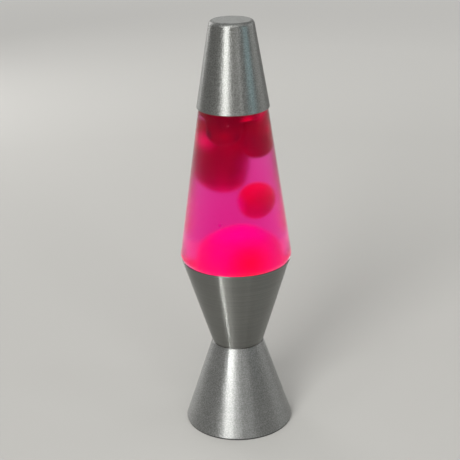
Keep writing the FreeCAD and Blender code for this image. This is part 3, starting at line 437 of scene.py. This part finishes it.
def meltedMesh(name, nodeNames, values):
    # the named drops run together into one soft body, a hair smaller than their solids,
    # with a few swells and one dimple that lets the rising ball pass
    shape = bmesh.new()
    for node in nodeNames:
        shape.from_mesh(cadNodes[node].data)
    bmesh.ops.remove_doubles(shape, verts=shape.verts, dist=seamReach)
    source = bpy.data.objects.new(name, meshFrom(shape, name))
    bpy.context.scene.collection.objects.link(source)
    remesh = source.modifiers.new("melt", "REMESH")
    remesh.mode = "VOXEL"
    remesh.voxel_size = values["voxel"]
    smooth = source.modifiers.new("settle", "SMOOTH")
    smooth.factor = values["passShare"]
    smooth.iterations = values["passes"]
    mesh = bakedMesh(source)
    shape = bmesh.new()
    shape.from_mesh(mesh)
    shape.normal_update()
    for vertex in shape.verts:
        push = -values["shrink"]
        for centre, reach, amount in values["swells"]:
            near = max(0.0, 1 - (vertex.co - Vector(centre)).length / reach)
            push += amount * near * near * (3 - 2 * near)
        vertex.co += vertex.normal * push
    shape.to_mesh(mesh)
    shape.free()
    return mesh


upperDrops = ["wax_top", "wax_right_lobe", "wax_left_lobe"]
finishPiece("wax_upper_drops", meltedMesh("wax_upper_drops", upperDrops, upperWax), makeWaxMaterial(upperWax),
            "globe", upperDrops)
finishPiece("wax_melted_pool", meltedMesh("wax_melted_pool", ["wax_pool"], poolWax), makeWaxMaterial(poolWax),
            "globe", ["wax_pool"])
print("wax melted")


# The rising ball of wax: a drop drawn out upwards, with the slow dents of soft wax

risingBall = {"Radius": 0.0123, "Stretch": 1.3, "Lean": (-0.0004, 0.0, 0.0), "Dent": 0.0009,
              "Dent Scale": 42.0, "Dent Seed": 2.0}


def makeRisingBall(values, material):
    low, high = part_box("wax_ball")
    inputs = dict(values, Middle=tuple((low + high) / 2), Material=material)
    tree, entry, leave = newTree("wax_rising_ball", inputs)
    ball = addNode(tree, "GeometryNodeMeshUVSphere", {"Segments": 64, "Rings": 40})
    shaped = addNode(tree, "ShaderNodeCombineXYZ", {"X": 1.0, "Y": 1.0})
    place = addNode(tree, "GeometryNodeTransform")
    spot = addNode(tree, "GeometryNodeInputPosition")
    dents = addNode(tree, "ShaderNodeTexNoise", {"Detail": 1.0}, noise_dimensions="4D")
    centred = addNode(tree, "ShaderNodeMath", {1: 0.5}, operation="SUBTRACT")
    deep = addNode(tree, "ShaderNodeMath", operation="MULTIPLY")
    outward = addNode(tree, "GeometryNodeInputNormal")
    push = addNode(tree, "ShaderNodeVectorMath", operation="SCALE")
    dented = addNode(tree, "GeometryNodeSetPosition")
    aside = addNode(tree, "ShaderNodeVectorMath", operation="ADD")
    joinUp(tree, (entry.outputs["Radius"], ball.inputs["Radius"]),
           (entry.outputs["Stretch"], shaped.inputs["Z"]),
           (ball.outputs["Mesh"], place.inputs["Geometry"]),
           (shaped.outputs["Vector"], place.inputs["Scale"]),
           (entry.outputs["Middle"], aside.inputs[0]), (entry.outputs["Lean"], aside.inputs[1]),
           (aside.outputs["Vector"], place.inputs["Translation"]),
           (place.outputs["Geometry"], dented.inputs["Geometry"]),
           (spot.outputs["Position"], dents.inputs["Vector"]),
           (entry.outputs["Dent Scale"], dents.inputs["Scale"]),
           (entry.outputs["Dent Seed"], dents.inputs["W"]), (dents.outputs["Fac"], centred.inputs[0]),
           (centred.outputs["Value"], deep.inputs[0]), (entry.outputs["Dent"], deep.inputs[1]),
           (outward.outputs["Normal"], push.inputs[0]), (deep.outputs["Value"], push.inputs["Scale"]),
           (push.outputs["Vector"], dented.inputs["Offset"]))
    closeTree(tree, entry, leave, dented.outputs["Geometry"])
    return grownMesh(tree, inputs)


ballMaterial = makeWaxMaterial(ballWax)
finishPiece("wax_rising_ball", makeRisingBall(risingBall, ballMaterial), ballMaterial, "ball",
            ["wax_ball"])
print("ball risen")


# Loose specks: bubbles under the liquid's level, and one bubble and one crumb of wax in front

specks = {
    "ring": {"Count": 34, "Reach": 0.0244, "Height": -0.0012, "Spread": 0.0016, "Least": 0.00018,
             "Most": 0.0006, "Seed": 7},
    "bubble": {"place": (-0.0045, -0.0255, 0.2852), "radius": 0.0009, "dent": 0.0, "stretch": (1, 1, 1)},
    "crumb": {"place": (-0.0128, -0.0358, 0.2019), "radius": 0.0012, "dent": 0.16,
              "stretch": (1.5, 1.0, 0.8)},
    "lumps": ((2.4, 0.8), (2.9, 0.0), (3.3, -1.1)),
    # the foam's pale colour is a painted gleam, and the glow on all three is painted light
    "foamCoat": {"colour": (0.95, 0.45, 0.52), "roughness": 0.12, "glow": 0.35},
    "bubbleCoat": {"colour": (0.42, 0.03, 0.06), "roughness": 0.12, "glow": 0.35},
    "crumbCoat": {"colour": (0.79, 0.0, 0.25), "roughness": 0.5, "glow": 0.4},
}


def plainMaterial(name, colour, roughness, metallic=0.0, glow=0.0, speckle=900, darkest=0.85):
    material, tree, shader = newMaterial(name)
    shade = noise(tree, objectPattern(tree), scale=speckle, detail=1.0)
    darker = tuple(darkest * part for part in colour)
    tree.links.new(mixColour(tree, shade, colour, darker), shader.inputs["Base Color"])
    setSockets(shader, {"Roughness": roughness, "Metallic": metallic, "Emission Color": colour + (1.0,),
                        "Emission Strength": glow})
    return material


def makeBubbleRing(values, material):
    # beads scattered about a circle; sockets 2 and 3 of their sizing are the least and the most
    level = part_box("globe_liquid")[1].z
    inputs = dict(values, Height=level + values["Height"], Material=material)
    tree, entry, leave = newTree("liquid_bubbles", inputs)
    ring = addNode(tree, "GeometryNodeCurvePrimitiveCircle", {"Resolution": 96})
    points = addNode(tree, "GeometryNodeCurveToPoints", mode="COUNT")
    lift = addNode(tree, "ShaderNodeCombineXYZ")
    scatter = addNode(tree, "FunctionNodeRandomValue", {"Min": (-1, -1, -1), "Max": (1, 1, 0)},
                      data_type="FLOAT_VECTOR")
    scaled = addNode(tree, "ShaderNodeVectorMath", operation="SCALE")
    moved = addNode(tree, "ShaderNodeVectorMath", operation="ADD")
    placed = addNode(tree, "GeometryNodeSetPosition")
    bead = addNode(tree, "GeometryNodeMeshIcoSphere", {"Radius": 1.0, "Subdivisions": 2})
    sizing = addNode(tree, "FunctionNodeRandomValue", data_type="FLOAT")
    beads = addNode(tree, "GeometryNodeInstanceOnPoints")
    joinUp(tree, (entry.outputs["Reach"], ring.inputs["Radius"]),
           (ring.outputs["Curve"], points.inputs["Curve"]),
           (entry.outputs["Count"], points.inputs["Count"]), (entry.outputs["Height"], lift.inputs["Z"]),
           (entry.outputs["Seed"], scatter.inputs["Seed"]), (scatter.outputs[0], scaled.inputs[0]),
           (entry.outputs["Spread"], scaled.inputs["Scale"]), (scaled.outputs["Vector"], moved.inputs[0]),
           (lift.outputs["Vector"], moved.inputs[1]), (points.outputs["Points"], placed.inputs["Geometry"]),
           (moved.outputs["Vector"], placed.inputs["Offset"]), (entry.outputs["Least"], sizing.inputs[2]),
           (entry.outputs["Most"], sizing.inputs[3]), (entry.outputs["Seed"], sizing.inputs["Seed"]),
           (placed.outputs["Geometry"], beads.inputs["Points"]),
           (bead.outputs["Mesh"], beads.inputs["Instance"]),
           (sizing.outputs[1], beads.inputs["Scale"]))
    closeTree(tree, entry, leave, beads.outputs["Instances"])
    return grownMesh(tree, inputs)


def makeSpeck(name, values, lumps):
    # round where the dent is 0, and lumpy where it is a share of the radius
    shape = bmesh.new()
    bmesh.ops.create_icosphere(shape, subdivisions=3, radius=values["radius"])
    for vertex in shape.verts:
        shares = vertex.co / values["radius"]
        across, along, up = [count * share + start for (count, start), share in zip(lumps, shares)]
        vertex.co *= 1 + values["dent"] * (math.sin(across) * math.cos(along) + math.sin(up))
    bmesh.ops.scale(shape, vec=values["stretch"], verts=shape.verts)
    bmesh.ops.translate(shape, vec=values["place"], verts=shape.verts)
    return meshFrom(shape, name)


foamMaterial = plainMaterial("foam_gleam", **specks["foamCoat"])
finishPiece("liquid_bubbles", makeBubbleRing(specks["ring"], foamMaterial), foamMaterial, "globe")
finishPiece("front_bubble", makeSpeck("front_bubble", specks["bubble"], specks["lumps"]),
            plainMaterial("bubble_gleam", **specks["bubbleCoat"]), "globe")
finishPiece("floating_crumb", makeSpeck("floating_crumb", specks["crumb"], specks["lumps"]),
            plainMaterial("crumb_wax", **specks["crumbCoat"]), "globe")
print("specks scattered")


# Bulb: rolled thread on its base, and a coiled filament that glows

bulbThread = {"Turns": 4.2, "Pitch": 0.0028, "Reach": 0.00803, "Bead": 0.00044, "Foot": 0.0036}
threadCoat = {"colour": (0.70, 0.52, 0.24), "roughness": 0.3, "metallic": 1.0}
filament = {"Turns": 17.0, "Coil": 0.00042, "Wire": 0.0001, "Bow": 0.0012}
filamentCoat = {"colour": (1.0, 0.72, 0.36), "roughness": 0.5, "glow": 12.0}


def makeThread(values, material):
    inputs = dict(values, Foot=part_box("bulb_screw_base")[0].z + values["Foot"], Material=material)
    tree, entry, leave = newTree("bulb_thread", inputs)
    spiral = addNode(tree, "GeometryNodeCurveSpiral", {"Resolution": 40})
    tall = addNode(tree, "ShaderNodeMath", operation="MULTIPLY")
    lift = addNode(tree, "ShaderNodeCombineXYZ")
    placed = addNode(tree, "GeometryNodeTransform")
    section = addNode(tree, "GeometryNodeCurvePrimitiveCircle", {"Resolution": 10})
    bead = addNode(tree, "GeometryNodeCurveToMesh", {"Fill Caps": True})
    joinUp(tree, (entry.outputs["Turns"], spiral.inputs["Rotations"]),
           (entry.outputs["Turns"], tall.inputs[0]),
           (entry.outputs["Pitch"], tall.inputs[1]), (tall.outputs["Value"], spiral.inputs["Height"]),
           (entry.outputs["Reach"], spiral.inputs["Start Radius"]),
           (entry.outputs["Reach"], spiral.inputs["End Radius"]), (entry.outputs["Foot"], lift.inputs["Z"]),
           (spiral.outputs["Curve"], placed.inputs["Geometry"]),
           (lift.outputs["Vector"], placed.inputs["Translation"]),
           (entry.outputs["Bead"], section.inputs["Radius"]),
           (placed.outputs["Geometry"], bead.inputs["Curve"]),
           (section.outputs["Curve"], bead.inputs["Profile Curve"]))
    closeTree(tree, entry, leave, bead.outputs["Mesh"])
    return grownMesh(tree, inputs)


def makeFilament(values, material):
    # a coil laid along X over the CAD filament's length, raised by its bow in the middle and by none
    # of it at the ends
    low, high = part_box("bulb_filament")
    inputs = dict(values, Length=high.x - low.x, Height=low.z + values["Coil"], Material=material)
    tree, entry, leave = newTree("bulb_filament_coil", inputs)
    spiral = addNode(tree, "GeometryNodeCurveSpiral", {"Resolution": 14})
    lying = addNode(tree, "GeometryNodeTransform", {"Rotation": (0.0, math.radians(90), 0.0)})
    half = addNode(tree, "ShaderNodeMath", {1: -0.5}, operation="MULTIPLY")
    centre = addNode(tree, "ShaderNodeCombineXYZ")
    spot = addNode(tree, "GeometryNodeInputPosition")
    split = addNode(tree, "ShaderNodeSeparateXYZ")
    share = addNode(tree, "ShaderNodeMath", operation="DIVIDE")
    square = addNode(tree, "ShaderNodeMath", operation="MULTIPLY")
    droop = addNode(tree, "ShaderNodeMath", {1: -4.0, 2: 1.0}, operation="MULTIPLY_ADD")
    bowed = addNode(tree, "ShaderNodeMath", operation="MULTIPLY_ADD")
    lift = addNode(tree, "ShaderNodeCombineXYZ")
    placed = addNode(tree, "GeometryNodeSetPosition")
    section = addNode(tree, "GeometryNodeCurvePrimitiveCircle", {"Resolution": 6})
    wire = addNode(tree, "GeometryNodeCurveToMesh", {"Fill Caps": True})
    joinUp(tree, (entry.outputs["Turns"], spiral.inputs["Rotations"]),
           (entry.outputs["Length"], spiral.inputs["Height"]),
           (entry.outputs["Coil"], spiral.inputs["Start Radius"]),
           (entry.outputs["Coil"], spiral.inputs["End Radius"]),
           (spiral.outputs["Curve"], lying.inputs["Geometry"]), (entry.outputs["Length"], half.inputs[0]),
           (half.outputs["Value"], centre.inputs["X"]),
           (centre.outputs["Vector"], lying.inputs["Translation"]),
           (spot.outputs["Position"], split.inputs["Vector"]), (split.outputs["X"], share.inputs[0]),
           (entry.outputs["Length"], share.inputs[1]), (share.outputs["Value"], square.inputs[0]),
           (share.outputs["Value"], square.inputs[1]), (square.outputs["Value"], droop.inputs[0]),
           (droop.outputs["Value"], bowed.inputs[0]), (entry.outputs["Bow"], bowed.inputs[1]),
           (entry.outputs["Height"], bowed.inputs[2]), (bowed.outputs["Value"], lift.inputs["Z"]),
           (lying.outputs["Geometry"], placed.inputs["Geometry"]),
           (lift.outputs["Vector"], placed.inputs["Offset"]),
           (entry.outputs["Wire"], section.inputs["Radius"]),
           (placed.outputs["Geometry"], wire.inputs["Curve"]),
           (section.outputs["Curve"], wire.inputs["Profile Curve"]))
    closeTree(tree, entry, leave, wire.outputs["Mesh"])
    return grownMesh(tree, inputs)


threadMaterial = plainMaterial("rolled_brass", **threadCoat)
finishPiece("bulb_thread", makeThread(bulbThread, threadMaterial), threadMaterial, "bulb")
filamentMaterial = plainMaterial("glowing_filament", **filamentCoat)
finishPiece("bulb_filament_coil", makeFilament(filament, filamentMaterial), filamentMaterial, "bulb",
            ["bulb_filament"])
print("bulb wound")


# Plain metals and plastics of the fittings

fittings = {
    "steel": {"colour": (0.45, 0.45, 0.44), "metallic": 1.0, "roughness": (0.28, 0.42),
              "scale": (300, 300, 60)},
    "brass": {"colour": (0.72, 0.53, 0.24), "metallic": 1.0, "roughness": (0.22, 0.4),
              "scale": (90, 90, 240)},
    "solder": {"colour": (0.55, 0.55, 0.56), "metallic": 1.0, "roughness": (0.38, 0.55),
               "scale": (400, 400, 400)},
    "bakelite": {"colour": (0.022, 0.016, 0.012), "metallic": 0.0, "roughness": (0.22, 0.34),
                 "scale": (70, 70, 70)},
    "black_plastic": {"colour": (0.028, 0.028, 0.029), "metallic": 0.0, "roughness": (0.45, 0.62),
                      "scale": (900, 900, 900)},
    "grey_fibre": {"colour": (0.16, 0.155, 0.145), "metallic": 0.0, "roughness": (0.7, 0.85),
                   "scale": (1200, 1200, 300)},
}
fittingGrain = {"darkest": 0.72, "toneSpan": (0.35, 0.65), "roughSpan": (0.3, 0.7), "depth": 0.00004,
                "share": 0.3}


def makeFitting(name, values, finish):
    material, tree, shader = newMaterial(name + "_fitting")
    grain = noise(tree, objectPattern(tree, values["scale"]), detail=4.0)
    darker = tuple(finish["darkest"] * part for part in values["colour"])
    tone = spread(tree, grain, *finish["toneSpan"], 0.0, 1.0)
    rough = spread(tree, grain, *finish["roughSpan"], *values["roughness"])
    joinUp(tree, (mixColour(tree, tone, values["colour"], darker), shader.inputs["Base Color"]),
           (rough, shader.inputs["Roughness"]))
    setSockets(shader, {"Metallic": values["metallic"]})
    addBump(tree, shader, [(grain, finish["depth"], finish["share"])])
    return material


slotOf = {part["node"]: part["material_slot"] for part in frame["record"]["subparts"]}
fittingMaterials = {name: makeFitting(name, values, fittingGrain) for name, values in fittings.items()}
for node, slotName in slotOf.items():
    if slotName in fittingMaterials:
        dress(node, fittingMaterials[slotName])
dress("waist_washer", fittingMaterials["grey_fibre"])
print("fittings dressed")


# Studio: pale floor, soft boxes and a plain grey room

studio = {
    "floorColour": (0.66, 0.655, 0.63), "floorShade": 0.96, "floorClouds": 9.0, "floorRoughness": 0.8,
    "floorShine": 0.2, "floorReach": 6.0, "floorSides": 96,
    "underKey": (-0.55, -1.15, 0.0), "paintedShadeNear": (0.24, 0.237, 0.229), "seenFar": (0.70, 0.695, 0.672),
    "seenSpan": (0.0, 2.775), "glowColour": (1.0, 0.995, 0.98), "farGlow": 0.26, "glowSpan": (0.9, 3.0),
    "roomColour": (1.0, 0.99, 0.97), "roomStrength": 0.44, "roomSeen": 0.58, "throughGlass": 0.66,
    "plainBox": {"aim": 0.2, "spread": 180, "colour": (1.0, 1.0, 0.99)},
    "boxes": {
        "key": {"azimuth": -26, "height": 0.85, "distance": 1.35, "size": (0.54, 0.8), "power": 20.5,
                "colour": (1.0, 0.995, 0.97)},
        "side": {"azimuth": -32, "height": 0.02, "distance": 0.3, "size": (0.012, 0.05), "power": 0.0145,
                 "aim": 0.12, "spread": 40},
        "broad": {"azimuth": 10, "height": 1.3, "distance": 0.75, "size": (0.5, 0.45), "power": 2.2,
                  "colour": (1.0, 0.98, 0.94)},
        "strip": {"azimuth": 26, "height": 0.8, "distance": 1.35, "size": (0.08, 0.7), "power": 1.4,
                  "colour": (1.0, 1.0, 1.0)},
        "footFront": {"azimuth": -4, "height": 0.3, "distance": 0.7, "size": (0.34, 0.2), "power": 0.036,
                      "aim": 0.02, "spread": 35},
        "sky": {"azimuth": 64, "height": 0.375, "distance": 0.6, "size": (0.3, 0.18), "power": 0.042,
                "aim": 0.34, "spread": 50, "colour": (0.5, 0.86, 0.95)},
        "rightBack": {"azimuth": 110, "height": 0.7, "distance": 1.4, "size": (0.9, 0.8), "power": 2.4},
        "behind": {"azimuth": 180, "height": 1.0, "distance": 1.3, "size": (0.8, 0.4), "power": 1.6,
                   "colour": (1.0, 1.0, 0.98)},
        "rightEdge": {"azimuth": 144, "height": 0.02, "distance": 0.3, "size": (0.012, 0.05), "power": 0.001,
                      "aim": 0.13, "spread": 30},
        "overhead": {"azimuth": 180, "height": 1.7, "distance": 0.2, "size": (0.5, 0.5), "power": 0.9,
                     "aim": 0.37, "colour": (0.97, 1.0, 0.99)},
        "highLeft": {"azimuth": -50, "height": 1.4, "distance": 0.6, "size": (0.12, 0.12), "power": 0.8},
        "highRight": {"azimuth": 65, "height": 1.4, "distance": 0.6, "size": (0.12, 0.12), "power": 0.6},
        "leftBack": {"azimuth": -142, "height": 0.7, "distance": 1.4, "size": (0.5, 0.8), "power": 4.6,
                     "colour": (1.0, 0.98, 0.97)},
    },
}


def makeFloor(values):
    shape = bmesh.new()
    bmesh.ops.create_circle(shape, cap_ends=True, radius=values["floorReach"], segments=values["floorSides"])
    mesh = meshFrom(shape, "studio_floor")
    floor = bpy.data.objects.new("studio_floor", mesh)
    bpy.context.scene.collection.objects.link(floor)
    material, tree, shader = newMaterial("pale_floor")
    rays = addNode(tree, "ShaderNodeLightPath")
    cameraRay, glassRay = rays.outputs["Is Camera Ray"], rays.outputs["Is Transmission Ray"]
    fromKey = addNode(tree, "ShaderNodeVectorMath", {1: values["underKey"]}, operation="DISTANCE")
    away = addNode(tree, "ShaderNodeVectorMath", operation="LENGTH")
    farGlow = spread(tree, away.outputs["Value"], *values["glowSpan"], 0.0, values["farGlow"])
    seenGlow = addNode(tree, "ShaderNodeMath", operation="MULTIPLY")
    glow = addNode(tree, "ShaderNodeMath", {1: values["throughGlass"]}, operation="MULTIPLY_ADD")
    clouds = noise(tree, objectPattern(tree), scale=values["floorClouds"], detail=4.0)
    shaded = tuple(values["floorShade"] * part for part in values["floorColour"])
    colour = mixColour(tree, clouds, values["floorColour"], shaded)
    # the camera sees it with painted shade, darker under the key box, and glass sees an even glow in its
    # place
    seen = mixColour(tree, spread(tree, fromKey.outputs["Value"], *values["seenSpan"], 0.0, 1.0),
                     values["paintedShadeNear"], values["seenFar"])
    colour = mixColour(tree, cameraRay, colour, seen)
    colour = mixColour(tree, glassRay, colour, (0, 0, 0))
    joinUp(tree, (objectPattern(tree), fromKey.inputs[0]), (objectPattern(tree), away.inputs[0]),
           (farGlow, seenGlow.inputs[0]), (cameraRay, seenGlow.inputs[1]),
           (glassRay, glow.inputs[0]), (seenGlow.outputs["Value"], glow.inputs[2]),
           (colour, shader.inputs["Base Color"]), (glow.outputs["Value"], shader.inputs["Emission Strength"]))
    setSockets(shader, {"Roughness": values["floorRoughness"], "Specular IOR Level": values["floorShine"],
                        "Emission Color": values["glowColour"] + (1.0,)})
    mesh.materials.append(material)


def makeSoftBox(name, values):
    lamp = bpy.data.lights.new(name, "AREA")
    lamp.shape = "RECTANGLE"
    lamp.size, lamp.size_y = values["size"]
    lamp.energy = values["power"]
    lamp.color = values["colour"]
    lamp.spread = math.radians(values["spread"])
    box = bpy.data.objects.new(name, lamp)
    bpy.context.scene.collection.objects.link(box)
    turn = math.radians(values["azimuth"])
    place = Vector((math.sin(turn), -math.cos(turn), 0)) * values["distance"]
    place.z = values["height"]
    box.location = place
    box.rotation_euler = (Vector((0, 0, values["aim"])) - place).to_track_quat("-Z", "Y").to_euler()
    box.visible_camera = False
    box.visible_transmission = False


def makeRoom(values):
    # an even grey, seen lighter by the camera and through glass than it lights the lamp
    world = bpy.data.worlds.new("studio_room")
    world.use_nodes = True
    tree = world.node_tree
    background = tree.nodes["Background"]
    rays = addNode(tree, "ShaderNodeLightPath")
    seen = spread(tree, rays.outputs["Is Camera Ray"], 0.0, 1.0, values["roomStrength"], values["roomSeen"])
    more = spread(tree, rays.outputs["Is Transmission Ray"], 0.0, 1.0, 0.0,
                  values["throughGlass"] - values["roomStrength"])
    strength = addNode(tree, "ShaderNodeMath", operation="ADD")
    joinUp(tree, (seen, strength.inputs[0]), (more, strength.inputs[1]),
           (strength.outputs["Value"], background.inputs["Strength"]))
    setSockets(background, {"Color": values["roomColour"] + (1.0,)})
    bpy.context.scene.world = world


makeFloor(studio)
for name, values in studio["boxes"].items():
    makeSoftBox(name + "_softbox", dict(studio["plainBox"], **values))
makeRoom(studio)
print("studio lit")


# Camera where the photograph was taken from

view = {"place": (-0.00494, -0.98483, 0.56697), "drop": 0.37158, "roll": -0.0220934,
        "lens": 94.52, "sensor": 36.0, "near": 0.01}


def makeCamera(values):
    drop, roll = values["drop"], values["roll"]
    ahead = Vector((0, math.cos(drop), -math.sin(drop)))
    right = Vector((1, 0, 0))
    up = Vector((0, math.sin(drop), math.cos(drop)))
    rolledRight = math.cos(roll) * right + math.sin(roll) * up
    rolledUp = math.cos(roll) * up - math.sin(roll) * right
    lens = bpy.data.cameras.new("photo_camera")
    lens.lens = values["lens"]
    lens.sensor_width = values["sensor"]
    lens.sensor_fit = "HORIZONTAL"
    lens.clip_start = values["near"]
    camera = bpy.data.objects.new("photo_camera", lens)
    bpy.context.scene.collection.objects.link(camera)
    camera.matrix_world = Matrix.Translation(values["place"]) @ Matrix(
        (rolledRight, rolledUp, -ahead)).transposed().to_4x4()
    bpy.context.scene.camera = camera


makeCamera(view)
bpy.context.scene.view_settings.view_transform = "Standard"
print("camera set")
